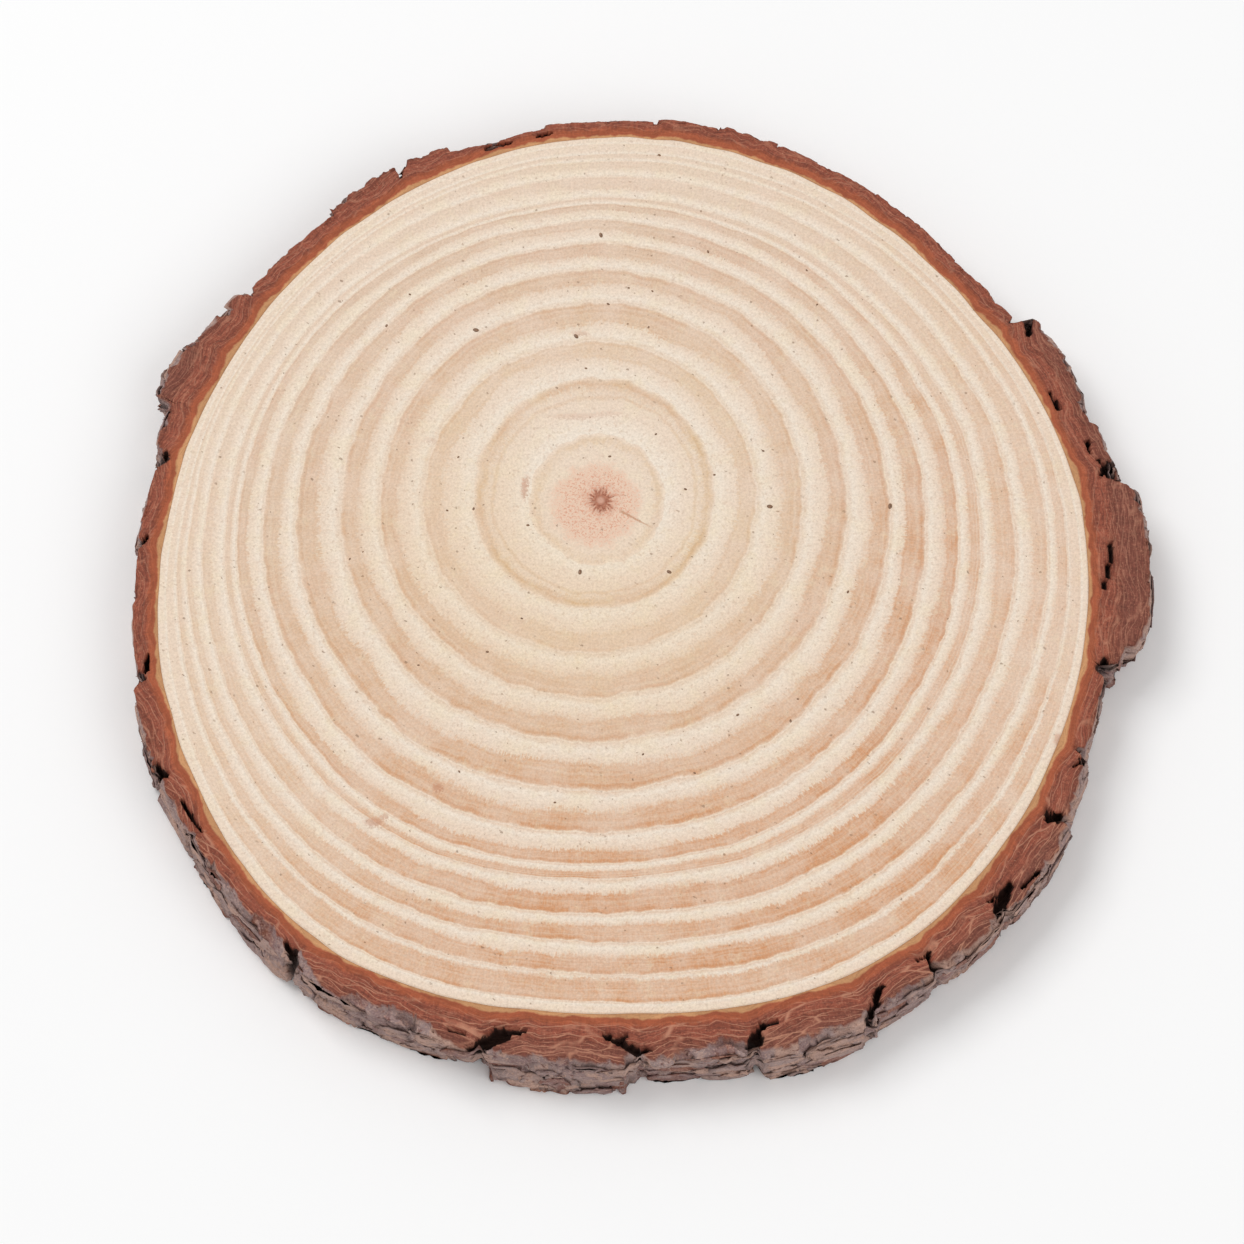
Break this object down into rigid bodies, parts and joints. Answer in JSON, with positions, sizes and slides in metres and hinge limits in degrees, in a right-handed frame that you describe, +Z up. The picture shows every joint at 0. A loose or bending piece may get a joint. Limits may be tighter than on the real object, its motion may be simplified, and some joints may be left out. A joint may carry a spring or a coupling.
{
  "type": "wood slice",
  "caption": "Round slice sawn across a young pine trunk, bark left on, flat sawn faces above and below: a natural coaster, plinth or craft blank.",
  "frame": {"origin": "middle of the underside: the centre of the slice's box in X and Y, on the surface it lies on", "axes": "+Z up along the trunk's grain, from the underside to the upper sawn face; +X to the right and +Y away from the viewer as pictured"},
  "size_m": [0.1418, 0.1414, 0.01],
  "materials": {
    "sawn_wood": "fine sanded cross-cut pine, cream springwood and tan autumnwood rings, unvarnished",
    "bark": "dry scaly pine bark, red-brown where sawn and grey-lilac and flaking outside"
  },
  "bodies": {
    "root": {"wood_slice": "sawn_wood"}
  },
  "joints": []
}
